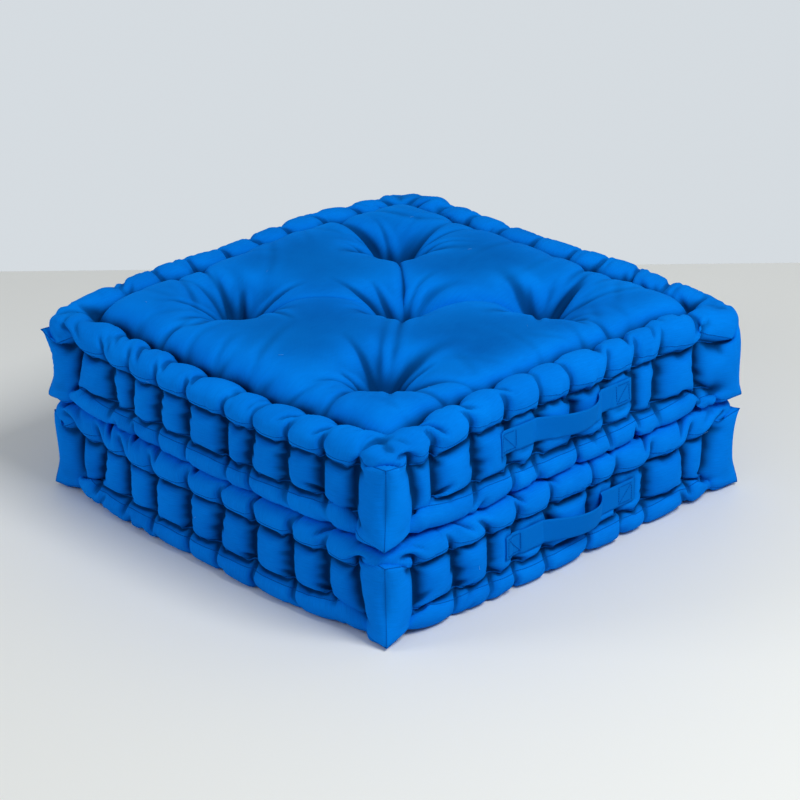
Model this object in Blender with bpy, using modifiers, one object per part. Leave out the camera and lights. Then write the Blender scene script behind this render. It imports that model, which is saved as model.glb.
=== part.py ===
"""Two square, tufted floor cushions with rolled edges, stacked one on the other.

Each cushion is a fabric cover cut as two square panels and four boxing strips, sewn round a fibre
filling. Five ties pull the panels together through the filling, and two runs of twine draw the
edges of the panels into rolls. A strap handle is sewn to the front boxing.

Units are metres, +Z is up, and the handles are on the -Y side. The origin is at the middle of the
footprint, handles included, on the floor.
"""

import math

import bmesh
import bpy
from mathutils import Vector

# Cushion
SIDE = 0.600  # plan size over the rolled edges
HEIGHT = 0.120  # one cushion over its rolls
STACK_GAP = 0.0006  # between the two cushions
CLEARANCE = 0.0005  # between sewn layers, which would touch
FABRIC = 0.0015  # cover cloth

# Rolled edges
ROLL_RADIUS = 0.022
ROLL_FLATTENED = 0.002  # how much the cushions' weight flattens each roll where it rests
SEAM_ANGLE = math.radians(-12)  # where the panel meets the boxing, below the roll's outermost line
TUCK_ANGLE = math.radians(-60)  # where the roll tucks in under itself
PILLOW_EDGE = 0.232  # from the middle to where the top starts down into the groove by the roll
PILLOW_DROP = 0.001  # the top inside the rolls is this much lower than they are
WALL = SIDE / 2 - 0.012  # the boxing between the rolls, from the middle
WALL_RISE = 0.018  # half the height of that flat wall

# Tufts
TUFT_PITCH = 0.140  # from the middle tuft to the outer ones, along X and along Y
TUFT_DEPTH = 0.035  # below the top inside the rolls
TUFT_SPREAD = 0.100  # radius of the dimple
TIE_RADIUS = 0.0015
TIE_BORE = 0.0024
KNOT_RADIUS = 0.005
KNOT_HEIGHT = 0.003
DIMPLE_SLOPE = 0.78  # steepest rise of the cloth around a tie

# Thread and twine
SEAM_RADIUS = 0.0008
SEAM_GAP = SEAM_RADIUS + CLEARANCE  # from the seam's line to each cloth edge
CORNER_GAP = 2 * SEAM_RADIUS + CLEARANCE  # from a corner to the ends of its boxing strips
TWINE_RADIUS = 0.0010

# Handle
HANDLE_LENGTH = 0.220  # over the sewn ends
STRAP_WIDTH = 0.030
STRAP = 0.0025  # folded cloth
FREE_SPAN = 0.148  # between the sewn ends
BOW = 0.028  # how far the middle stands off the boxing
BOW_POWER = 3  # above 2, the strap leaves its sewn ends more steeply
LOOSE_SHARE = 0.70  # share of the free span that swings clear of the boxing
STRAP_STEPS = 12
STITCH_RADIUS = 0.0005
STITCH_INSET = 0.004  # from the strap's edges to its box stitch

# Half of the front strap's reach past the rolls, so that the footprint is centred on the origin
REACH = WALL + CLEARANCE + BOW + STRAP - SIDE / 2
CUSHION_Y = REACH / 2

COLOURS = {
    "cloth": (0.0, 0.16, 0.72, 1),
    "strap": (0.0, 0.17, 0.76, 1),
    "thread": (0.0, 0.13, 0.62, 1),
    "fibre": (0.86, 0.85, 0.80, 1),
}
TUFTS = [(0, 0)] + [(x * TUFT_PITCH, y * TUFT_PITCH) for x in (-1, 1) for y in (-1, 1)]


def clear_scene():
    for obj in list(bpy.data.objects):
        bpy.data.objects.remove(obj)


def new_collection(name):
    collection = bpy.data.collections.new(name)
    bpy.context.scene.collection.children.link(collection)
    return collection


def new_material(name):
    """A matt material in the part's colour."""
    material = bpy.data.materials.new(name)
    material.use_nodes = True
    shader = material.node_tree.nodes["Principled BSDF"]
    shader.inputs["Base Color"].default_value = COLOURS[name]
    shader.inputs["Roughness"].default_value = 0.9
    shader.inputs["Metallic"].default_value = 0.0
    return material


# Profile: the cover's outline on a cut through the middle, as (distance from the axis, height).


def roll_point(angle):
    """A point of the upper roll's round outline."""
    return (
        SIDE / 2 - ROLL_RADIUS + ROLL_RADIUS * math.cos(angle),
        HEIGHT + ROLL_FLATTENED - ROLL_RADIUS + ROLL_RADIUS * math.sin(angle),
    )


def seam_point():
    return roll_point(SEAM_ANGLE)


def panel_stations():
    """The upper panel's profile from its middle to just short of the seam."""
    inner = [0, TUFT_PITCH / 2, TUFT_PITCH, (TUFT_PITCH + PILLOW_EDGE) / 2, PILLOW_EDGE]
    flat = [(r, HEIGHT - PILLOW_DROP) for r in inner]
    shoulder = math.asin(1 - ROLL_FLATTENED / ROLL_RADIUS)
    last = SEAM_ANGLE + SEAM_GAP / ROLL_RADIUS
    turns = [math.pi, math.pi - shoulder, shoulder, (shoulder + last) / 2, last]
    return flat + [roll_point(angle) for angle in turns]


def boxing_stations():
    """The boxing's profile from just below the upper seam to just above the lower one."""
    first = SEAM_ANGLE - SEAM_GAP / ROLL_RADIUS
    upper = [roll_point(first), roll_point((first + TUCK_ANGLE) / 2), roll_point(TUCK_ANGLE)]
    upper.append((WALL, HEIGHT / 2 + WALL_RISE))
    return upper + [(r, HEIGHT - z) for r, z in reversed(upper)]


def dip(x, y):
    """How far the ties draw the cloth down at a point of the panel."""
    depth = 0
    for tuft_x, tuft_y in TUFTS:
        near = max(0, 1 - math.hypot(x - tuft_x, y - tuft_y) / TUFT_SPREAD)
        depth = max(depth, TUFT_DEPTH * near**2)
    return depth


def travelled(stations):
    """The distance along the cloth from the first station to each."""
    total = [0.0]
    for here, there in zip(stations, stations[1:]):
        total.append(total[-1] + math.dist(here, there))
    return total


# Cloth


def add_panel_surface(bm, upper):
    """Adds the outer surface of the upper or the lower panel. A ring of the flat grid becomes a
    square of the finished panel, and the cloth spreads evenly along it."""
    stations = panel_stations()
    cloth = travelled(stations)
    rings = len(stations) - 1
    grid = bmesh.ops.create_grid(bm, x_segments=2 * rings, y_segments=2 * rings, size=rings)
    steps_out = {}
    for vertex in grid["verts"]:
        column, row = round(vertex.co.x), round(vertex.co.y)
        steps_out[vertex] = abs(column) + abs(row)
        ring = max(abs(column), abs(row))
        reach, height = stations[ring]
        stretch = reach / cloth[ring] if ring else 0
        x = math.copysign(cloth[abs(column)] * stretch, column)
        y = math.copysign(cloth[abs(row)] * stretch, row)
        z = height - dip(x, y)
        vertex.co = (x, y, z if upper else HEIGHT - z)
    faces = {face for vertex in grid["verts"] for face in vertex.link_faces}
    if not upper:
        bmesh.ops.reverse_faces(bm, faces=list(faces))
    for face in faces:
        ends = sorted(face.verts, key=steps_out.get)
        bmesh.utils.face_split(face, ends[0], ends[-1])


def add_boxing_surface(bm, stations, quarter, trim):
    """Adds the outer surface of one boxing strip, stopping short of the corners by trim. Quarter 0
    is the front, and each further one is a quarter turn anticlockwise from above."""
    turn = quarter * math.pi / 2
    rows = len(stations) - 1
    grid = bmesh.ops.create_grid(bm, x_segments=1, y_segments=rows, size=1)
    for vertex in grid["verts"]:
        row = round((1 - vertex.co.y) / 2 * rows)
        reach, height = stations[row]
        along, out = vertex.co.x * (reach - trim), -reach
        vertex.co = (
            along * math.cos(turn) - out * math.sin(turn),
            along * math.sin(turn) + out * math.cos(turn),
            height,
        )


def finish_mesh(bm, name, material, collection, parent):
    mesh = bpy.data.meshes.new(name)
    bm.to_mesh(mesh)
    bm.free()
    mesh.materials.append(material)
    obj = bpy.data.objects.new(name, mesh)
    collection.objects.link(obj)
    obj.parent = parent
    return obj


def make_cloth(obj):
    """Gives an outer surface the thickness of cloth, inwards."""
    solid = obj.modifiers.new("cloth", "SOLIDIFY")
    solid.thickness = FABRIC
    solid.offset = -1
    solid.use_even_offset = True


def bore_for_ties(obj, cutter):
    bore = obj.modifiers.new("tie bores", "BOOLEAN")
    bore.operation = "DIFFERENCE"
    bore.object = cutter


def make_panel(name, upper, cutter, material, collection, parent):
    bm = bmesh.new()
    add_panel_surface(bm, upper)
    obj = finish_mesh(bm, name, material, collection, parent)
    make_cloth(obj)
    bore_for_ties(obj, cutter)
    return obj


def make_boxing(name, quarter, material, collection, parent):
    bm = bmesh.new()
    add_boxing_surface(bm, boxing_stations(), quarter, CORNER_GAP)
    obj = finish_mesh(bm, name, material, collection, parent)
    make_cloth(obj)
    return obj


def make_filling(name, cutter, material, collection, parent):
    """The fibre block: the closed cover, shrunk by the cloth and a clearance."""
    bm = bmesh.new()
    add_panel_surface(bm, True)
    add_panel_surface(bm, False)
    rim = panel_stations()[-1]
    across = [rim, *boxing_stations(), (rim[0], HEIGHT - rim[1])]
    for quarter in range(4):
        add_boxing_surface(bm, across, quarter, 0)
    # The panels' edges are divided, and the strips' long edges aren't: match them up.
    edges = [edge for edge in bm.edges if edge.is_boundary and len(edge.link_faces) == 1]
    long_edges = [edge for edge in edges if edge.calc_length() > SIDE / 2]
    for edge in long_edges:
        divide_like_panel(bm, edge)
    bmesh.ops.remove_doubles(bm, verts=bm.verts, dist=0.0001)
    bm.normal_update()
    depth = FABRIC + CLEARANCE
    moves = [(vertex, vertex.normal * depth * vertex.calc_shell_factor()) for vertex in bm.verts]
    for vertex, move in moves:
        vertex.co -= move
    obj = finish_mesh(bm, name, material, collection, parent)
    bore_for_ties(obj, cutter)
    return obj


def divide_like_panel(bm, edge):
    """Splits a straight edge at the places where the panel's rim has its points."""
    cloth = travelled(panel_stations())
    start, end = edge.verts
    origin, across = start.co.copy(), end.co - start.co
    inner = cloth[1:-1]
    places = [-c for c in reversed(inner)] + [0] + inner
    here = start
    for place in places:
        share = (place / cloth[-1] + 1) / 2
        _, vertex = bmesh.utils.edge_split(edge, here, 0.5)
        vertex.co = origin + across * share
        here = vertex
        edge = next(e for e in vertex.link_edges if end in e.verts)


# Threads


def make_cord(name, points, radius, sides, closed, material, collection, parent):
    """A cord along straight runs between points."""
    curve = bpy.data.curves.new(name, "CURVE")
    curve.dimensions = "3D"
    curve.bevel_depth = radius
    curve.bevel_resolution = sides // 2 - 2
    curve.use_fill_caps = not closed
    spline = curve.splines.new("POLY")
    spline.points.add(len(points) - 1)
    for place, point in zip(spline.points, points):
        place.co = (*point, 1)
    spline.use_cyclic_u = closed
    curve.materials.append(material)
    obj = bpy.data.objects.new(name, curve)
    collection.objects.link(obj)
    obj.parent = parent
    return obj


def square(reach, height):
    """The corners of a level square round the cushion."""
    return [
        (x * reach, y * reach, height) for x, y in ((-1, -1), (1, -1), (1, 1), (-1, 1))
    ]


def make_seam(name, upper, material, collection, parent):
    """The seam round the cushion where a panel meets the boxing."""
    reach, height = seam_point()
    height = height if upper else HEIGHT - height
    make_cord(name, square(reach, height), SEAM_RADIUS, 6, True, material, collection, parent)


def make_roll_twine(name, upper, material, collection, parent):
    """The twine lying in the crease under the roll, where it comes out of each stitch."""
    reach, height = WALL + TWINE_RADIUS + 2 * CLEARANCE, HEIGHT / 2 + WALL_RISE
    height = height if upper else HEIGHT - height
    make_cord(name, square(reach, height), TWINE_RADIUS, 6, True, material, collection, parent)


def make_corner_seam(name, x, y, material, collection, parent):
    """The seam down a corner, where two boxing strips meet."""
    reach, height = seam_point()
    inward = SEAM_RADIUS + CLEARANCE * 2
    ends = [(reach, height - inward), (reach, HEIGHT - height + inward)]
    stations = [ends[0], *boxing_stations()[1:-1], ends[1]]
    points = [(x * (r - SEAM_RADIUS), y * (r - SEAM_RADIUS), z) for r, z in stations]
    make_cord(name, points, SEAM_RADIUS, 6, False, material, collection, parent)


def make_tie(name, x, y, material, collection, parent):
    """A tie through the filling, with a knot drawn down into the dimple at each end."""
    shaft = HEIGHT / 2 - PILLOW_DROP - TUFT_DEPTH
    seat = shaft + DIMPLE_SLOPE * KNOT_RADIUS + CLEARANCE
    throat = shaft + DIMPLE_SLOPE * TIE_RADIUS + CLEARANCE
    half = [
        (0, seat + KNOT_HEIGHT),
        (KNOT_RADIUS * 0.7, seat + KNOT_HEIGHT * 0.75),
        (KNOT_RADIUS, seat),
        (TIE_RADIUS, throat),
    ]
    profile = half + [(r, -z) for r, z in reversed(half)]
    bm = bmesh.new()
    vertices = [bm.verts.new((r, 0, z)) for r, z in profile]
    for here, there in zip(vertices, vertices[1:]):
        bm.edges.new((here, there))
    obj = finish_mesh(bm, name, material, collection, parent)
    obj.location = (x, y, HEIGHT / 2)
    screw = obj.modifiers.new("turned", "SCREW")
    screw.steps = screw.render_steps = 10
    screw.use_merge_vertices = True
    screw.merge_threshold = 0.0001
    return obj


# Handle


def strap_stand_off(x):
    """How far the strap's middle layer stands off the boxing, at a place along it."""
    share = min(1, abs(x) / (FREE_SPAN / 2))
    return CLEARANCE + STRAP / 2 + BOW * (1 - share**BOW_POWER)


def strap_slope(x):
    share = min(1, abs(x) / (FREE_SPAN / 2))
    if share == 1:
        return 0
    return BOW * BOW_POWER * share ** (BOW_POWER - 1) / (FREE_SPAN / 2)


def strap_outline(start, end, steps):
    """The strap from above, between two places along it, with square ends. Y is outward, so
    negative, from the boxing."""
    places = [start + (end - start) * step / steps for step in range(steps + 1)]
    if start < FREE_SPAN / 2 < end:
        places = [start, (start + FREE_SPAN / 2) / 2, FREE_SPAN / 2, end]
    if start < -FREE_SPAN / 2 < end:
        places = [start, -FREE_SPAN / 2, (end - FREE_SPAN / 2) / 2, end]
    outer, inner = [], []
    for x in places:
        half = STRAP / 2 * math.hypot(1, strap_slope(x))
        outer.append((x, -strap_stand_off(x) - half))
        inner.append((x, min(-CLEARANCE, -strap_stand_off(x) + half)))
    return outer + inner[::-1]


def make_strap(name, start, end, material, collection, parent):
    curve = bpy.data.curves.new(name, "CURVE")
    curve.dimensions = "2D"
    curve.fill_mode = "BOTH"
    curve.extrude = STRAP_WIDTH / 2
    spline = curve.splines.new("POLY")
    outline = strap_outline(start, end, STRAP_STEPS)
    spline.points.add(len(outline) - 1)
    for place, point in zip(spline.points, outline):
        place.co = (*point, 0, 1)
    spline.use_cyclic_u = True
    curve.materials.append(material)
    obj = bpy.data.objects.new(name, curve)
    collection.objects.link(obj)
    obj.parent = parent
    return obj


def make_box_stitch(name, side, material, collection, parent):
    """The square of stitches that holds one end of the strap down."""
    outward = -(CLEARANCE * 2 + STRAP + STITCH_RADIUS)
    far, near = HANDLE_LENGTH / 2 - STITCH_INSET, FREE_SPAN / 2 + STITCH_INSET / 2
    rise = STRAP_WIDTH / 2 - STITCH_INSET
    points = [
        (side * x, outward, z) for x, z in ((near, -rise), (far, -rise), (far, rise), (near, rise))
    ]
    make_cord(name, points, STITCH_RADIUS, 6, True, material, collection, parent)


def make_handle(prefix, materials, collection, cushion):
    """The strap's swinging middle and its two sewn ends, on the line that it swings about."""
    pivot = bpy.data.objects.new(prefix + "_handle_pivot", None)
    collection.objects.link(pivot)
    pivot.parent = cushion
    pivot.location = (0, -WALL, HEIGHT / 2)
    cloth, thread = materials["strap"], materials["thread"]
    loose = LOOSE_SHARE * FREE_SPAN / 2
    make_strap(prefix + "_handle_strap", -loose, loose, cloth, collection, pivot)
    near, far = loose + CLEARANCE, HANDLE_LENGTH / 2
    make_strap(prefix + "_handle_end_right", near, far, cloth, collection, pivot)
    make_strap(prefix + "_handle_end_left", -far, -near, cloth, collection, pivot)
    make_box_stitch(prefix + "_handle_stitch_right", 1, thread, collection, pivot)
    make_box_stitch(prefix + "_handle_stitch_left", -1, thread, collection, pivot)


# Assembly


def make_tie_cutter(collection, cushion):
    """Five upright rods, a little wider than the ties, that cut their way through the cushion."""
    bm = bmesh.new()
    for x, y in TUFTS:
        rod = bmesh.ops.create_cone(
            bm, cap_ends=True, segments=10, radius1=TIE_BORE, radius2=TIE_BORE, depth=2 * HEIGHT
        )
        bmesh.ops.translate(bm, verts=rod["verts"], vec=Vector((x, y, HEIGHT / 2)))
    mesh = bpy.data.meshes.new("tie_bores")
    bm.to_mesh(mesh)
    bm.free()
    cutter = bpy.data.objects.new("tie_bores", mesh)
    collection.objects.link(cutter)
    cutter.hide_render = True
    cutter.display_type = "WIRE"
    cutter.parent = cushion
    return cutter


def make_cushion(prefix, base, materials, collection, cutters):
    """One whole cushion standing at height base."""
    cloth, thread = materials["cloth"], materials["thread"]
    cushion = bpy.data.objects.new(prefix + "_cushion", None)
    collection.objects.link(cushion)
    cushion.location = (0, CUSHION_Y, base)
    cutter = make_tie_cutter(cutters, cushion)
    make_filling(prefix + "_filling", cutter, materials["fibre"], collection, cushion)
    for upper, end in ((True, "top"), (False, "bottom")):
        make_panel(f"{prefix}_{end}_panel", upper, cutter, cloth, collection, cushion)
        make_seam(f"{prefix}_{end}_seam", upper, thread, collection, cushion)
        make_roll_twine(f"{prefix}_{end}_roll_twine", upper, thread, collection, cushion)
    for quarter, face in enumerate(("front", "right", "back", "left")):
        make_boxing(f"{prefix}_boxing_{face}", quarter, cloth, collection, cushion)
    for x, y, corner in (
        (-1, -1, "front_left"),
        (1, -1, "front_right"),
        (1, 1, "back_right"),
        (-1, 1, "back_left"),
    ):
        make_corner_seam(f"{prefix}_corner_seam_{corner}", x, y, thread, collection, cushion)
    for (x, y), place in zip(TUFTS, ("middle", "front_left", "back_left", "front_right", "back_right")):
        make_tie(f"{prefix}_tuft_tie_{place}", x, y, thread, collection, cushion)
    make_handle(prefix, materials, collection, cushion)


def main():
    clear_scene()
    collection = new_collection("floor_cushions")
    cutters = new_collection("cutters")
    materials = {name: new_material(name) for name in COLOURS}
    make_cushion("lower", 0, materials, collection, cutters)
    make_cushion("upper", HEIGHT + STACK_GAP, materials, collection, cutters)


main()
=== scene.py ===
"""Two tufted floor cushions in blue cotton: the covers' cloth is simulated over the frame."""

import math

import bpy
import numpy as np
from mathutils import Matrix, Vector
from mathutils.bvhtree import BVHTree


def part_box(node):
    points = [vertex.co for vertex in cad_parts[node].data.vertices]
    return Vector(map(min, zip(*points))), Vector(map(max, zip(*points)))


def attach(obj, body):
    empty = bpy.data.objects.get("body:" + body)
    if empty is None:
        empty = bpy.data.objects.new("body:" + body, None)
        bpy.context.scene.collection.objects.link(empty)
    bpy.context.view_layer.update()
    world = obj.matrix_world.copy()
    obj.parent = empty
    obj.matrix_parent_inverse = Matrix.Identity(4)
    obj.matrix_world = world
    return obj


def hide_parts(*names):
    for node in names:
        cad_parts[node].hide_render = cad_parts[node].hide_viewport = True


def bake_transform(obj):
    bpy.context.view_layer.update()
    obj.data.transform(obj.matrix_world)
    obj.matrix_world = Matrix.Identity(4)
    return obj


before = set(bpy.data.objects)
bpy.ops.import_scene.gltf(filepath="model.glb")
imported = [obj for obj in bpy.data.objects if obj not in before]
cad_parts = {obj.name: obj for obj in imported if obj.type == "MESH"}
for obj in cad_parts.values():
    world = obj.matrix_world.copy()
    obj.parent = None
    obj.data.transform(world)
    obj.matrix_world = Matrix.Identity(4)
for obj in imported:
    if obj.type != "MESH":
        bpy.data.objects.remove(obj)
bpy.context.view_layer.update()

# Sizes that come from the frame
PANEL_LOW, PANEL_HIGH = (np.array(corner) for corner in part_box("lower_top_panel"))
SEAM_LOW, SEAM_HIGH = (np.array(corner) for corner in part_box("lower_top_seam"))
CENTRE_Y = float(PANEL_LOW[1] + PANEL_HIGH[1]) / 2
HALF = float(SEAM_HIGH[0] - SEAM_LOW[0]) / 2
HEIGHT = float(PANEL_HIGH[2])
UPPER_BASE = float(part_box("upper_bottom_panel")[0][2])
STRAP_LOW, STRAP_HIGH = (np.array(corner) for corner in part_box("lower_handle_strap"))
TAB_LOW, TAB_HIGH = (np.array(corner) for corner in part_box("lower_handle_end_right"))
HINGE_Z = HEIGHT / 2
TAB_NEAR, TAB_FAR = float(TAB_LOW[0]), float(TAB_HIGH[0])  # the handle's right end, along X

# The cover's pattern, as cut: 70 cm panels for a 60 cm cushion, so every edge is gathered
CELLS = 192  # across a panel
ROWS = 28  # down the boxing
FLAT_HALF = HALF * 7 / 6
BOXING_FLAT = 0.092
ROLL_FLAT = 0.075  # cloth that goes round a roll
FLAT_VALLEY = FLAT_HALF - ROLL_FLAT

# The finished cushion
VALLEY = 0.257  # from the middle to the groove inside the roll
ROLL = 0.0195  # radius
ROLL_PINCHED, ROLL_SWELL = 0.44, 0.64  # the roll's radius at a stitch, and how much it gains between
VALLEY_ANGLE = math.radians(205)
SEAM_ANGLE = math.radians(-20)
PILLOW = 0.012  # the stuffing's height over the rolls, where the cloth lets it
DOME = 0.0158  # and the most that it rises over them
PILLOW_EDGE = 0.034  # over which the pillow rises from the groove
PILLOW_EASE = 1.10  # the panel's cloth has stretched with use
TUFT_DEPTH, TUFT_FUNNEL = 0.078, 0.125  # below the top, and how far off the stuffing is full again
TUFT_CRISP = 0.016  # how far from a tuft its folds stay sharp
STITCHES = 10  # along each side of each roll
STITCH_REACH = VALLEY + 0.003
CORNER_BLOCK = 0.051  # from a corner to its nearest stitch
SEAM_HOLD = 0.2895  # the seam at the stitches next to a corner
SEAM_TOP, SEAM_BASE = HEIGHT - 0.0145, 0.0115  # and its heights there
CREASE_DROP = 0.033  # from the top to the crease under the roll
CREASE_SHARE = 0.145  # of the boxing, from the seam to that crease
CREASE_REACH, CREASE_SWELL = 0.283, 0.006
SCALLOP = 0.055  # how much of the boxing the creases sag by between stitches
COLUMN_REACH = 0.282  # the boxing between the creases, at a stitch
COLUMN_SWELL = 0.023  # and how much further it stands out between stitches
COLUMN_LIMIT = 0.308
TWINE_REACH = 0.2885  # the twine along the crease lets the cloth stand out no further
TWINE_DROP = 0.016  # the groove inside the roll, below the top
STITCH_PULL = 0.010  # and how much deeper each stitch is
FOLD_REACH = 0.2845  # the line between a side's upper and lower stitch
CORNER_WAIST = 0.0065  # how far the corner seam bends in between its ears
EAR_OUT = 0.0015  # how far the lower ears stand out past the rolls
EAR_LOW = 0.003  # the lower ears' height
HOOD = 0.001  # how far the rolls may rise over the top next to a corner
PUCKER = 0.0007  # the depth of the gathers along the seams
TAB_REACH = 0.2935  # the boxing under the handle's ends, where it lies flat

# Threads, twine and the handle
SEAM_THREAD = 0.00055  # radius
SEAM_STITCH = 0.0032
SEAM_PROUD = -0.0001  # the thread's middle, over the cloth
TWINE, TWINE_DIVE = 0.0009, 0.005  # the roll twine's radius, and how deep it runs past a corner block
TUFT_TWINE, TUFT_BAR = 0.0010, 0.009  # radius, and length across the tuft
STITCH_THREAD, STITCH_PITCH, STITCH_LENGTH = 0.00042, 0.0033, 0.0024
STITCH_BOX, STITCH_EDGE = 0.026, 0.004  # from the handle's end to the box's inner side, and its edge
LINT = 0.00016  # radius
HANDLE_HALF = float(TAB_HIGH[0])
STRAP_HALF_WIDTH = float(STRAP_HIGH[2] - STRAP_LOW[2]) / 2
STRAP_THICK = 0.0022
STRAP_LIFT = 0.0004  # over the cloth
HANDLE_BOW, HANDLE_SAG, HANDLE_TILT = 0.020, 0.002, 0.0035
HANDLE_RISE = {"lower": 0.0, "upper": 0.008}  # over the boxing's middle

# The cloth and its stuffing in the simulation
STRETCH, SHEAR, BEND = 1.0, 0.35, 0.12
SEAM_GATHER = 0.94
CORNER_EASE = 0.10
FILL_STIFFNESS = 0.010
LIFT, LIFT_RANGE = 0.00003, 0.012  # the push that stays as the cloth leaves the stuffing, and its reach
DAMPING = 0.90
PUSH_AHEAD = 2.8  # over-relaxation
COARSE_TURNS, FINE_TURNS = 300, 150

# Each tuft was sewn by eye, near its place on a 14 cm grid
TUFTS = {
    "lower": {
        "middle": (-0.004, 0.006),
        "front_left": (-0.134, -0.142),
        "back_left": (-0.145, 0.137),
        "front_right": (0.143, -0.136),
        "back_right": (0.136, 0.144),
    },
    "upper": {
        "middle": (0.010, -0.006),
        "front_left": (-0.148, -0.142),
        "back_left": (-0.122, 0.136),
        "front_right": (0.130, -0.126),
        "back_right": (0.137, 0.134),
    },
}


def turned(side, along, out):
    """A point given along and out from the front side, on another side. Sides go anticlockwise."""
    cos, sin = ((1, 0), (0, 1), (-1, 0), (0, -1))[side]
    return along * cos + out * sin, along * sin - out * cos


def each_side(side, value_of):
    """Values for places on several sides: value_of takes a side and which places lie on it."""
    values = np.zeros(side.shape)
    for which in range(4):
        here = side == which
        values[here] = value_of(which, here)
    return values


def mirrored(z, upper):
    """A height over the base, or as far under the top for the lower half."""
    return z if upper else HEIGHT - z


def fullness(place, stitches, swell, power):
    """How full the cloth is at a place along a side: 0 at the stitches and about 1 between."""
    edges = np.concatenate([[-HALF], stitches, [HALF]])
    segment = np.clip(np.searchsorted(edges, place, side="right") - 1, 0, len(edges) - 2)
    share = np.clip((place - edges[segment]) / (edges[segment + 1] - edges[segment]), 0, 1)
    last = len(edges) - 2
    share = np.where(segment == 0, 0.5 + share / 2, np.where(segment == last, share / 2, share))
    return np.maximum(np.sin(math.pi * share), 0) ** power * swell[segment]


# Each corner's upper ear: how far it stands out, and how far it is below the top.
# They go front left, front right, back right, back left, as the sides go front, right, back, left.
EARS = {
    "lower": ((0.001, 0.017), (0.002, 0.016), (0.002, 0.017), (-0.004, 0.017)),
    "upper": ((0.003, 0.017), (-0.007, 0.014), (0.000, 0.018), (0.007, 0.030)),
}

# The stitches that were measured on the upper cushion; elsewhere they are even, give or take 9 mm
MEASURED_STITCHES = {
    ("upper", 0): (-0.255, -0.218, -0.155, -0.100, -0.044, 0.006, 0.067, 0.116, 0.158, 0.221),
    ("upper", 3): (-0.237, -0.177, -0.132, -0.080, -0.027, 0.036, 0.086, 0.141, 0.196, 0.249),
}

# How the middle of each side has settled: out at the base, out at the top, and up at the top
SETTLED = {
    "lower": ((0.005, 0.004, 0), (0.008, 0.006, 0), (0.006, 0.005, 0), (0.011, 0.008, 0)),
    "upper": ((0.004, -0.006, 0.010), (0.008, 0.009, 0.002), (0.005, 0.005, 0), (0.009, 0.011, -0.008)),
}
SETTLED_BREADTH = 0.11  # how far in from a side its settling is felt
UPPER_SWAY = 0.0032  # how far the free top has sunk and risen with use

# How far each side's pinches lean on their way over the roll, in order front, right, back, left
LEAN = ((-0.006, 0.008), (-0.004, 0.010), (-0.008, 0.004), (0.006, 0.018))


class Workmanship:
    """What differs from one hand-sewn cushion to the next."""

    def __init__(self, name, seed):
        rng = np.random.default_rng(seed)
        self.name, self.tufts, self.ears = name, TUFTS[name], EARS[name]
        pitch = 2 * (HALF - CORNER_BLOCK) / (STITCHES - 1)
        even = -HALF + CORNER_BLOCK + pitch * np.arange(STITCHES)
        self.stitches, self.swell, self.slant, self.grip = {}, {}, {}, {}
        self.column_swell = {}
        for side in range(4):
            places = even + rng.uniform(-0.009, 0.009, STITCHES)
            places[[0, -1]] = even[[0, -1]] + rng.uniform(-0.004, 0.004, 2)
            places = np.array(MEASURED_STITCHES.get((name, side), places))
            for upper in (True, False):
                shift = 0 if upper else rng.uniform(-0.011, 0.011, STITCHES)
                self.stitches[side, upper] = places + shift
                self.swell[side, upper] = rng.uniform(0.7, 1.15, STITCHES + 1)
                self.slant[side, upper] = rng.uniform(*LEAN[side], STITCHES)
                self.grip[side, upper] = rng.uniform(0.26, 0.56, STITCHES)
            self.column_swell[side] = rng.uniform(0.7, 1.15, STITCHES + 1)
        self.noise = rng


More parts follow.
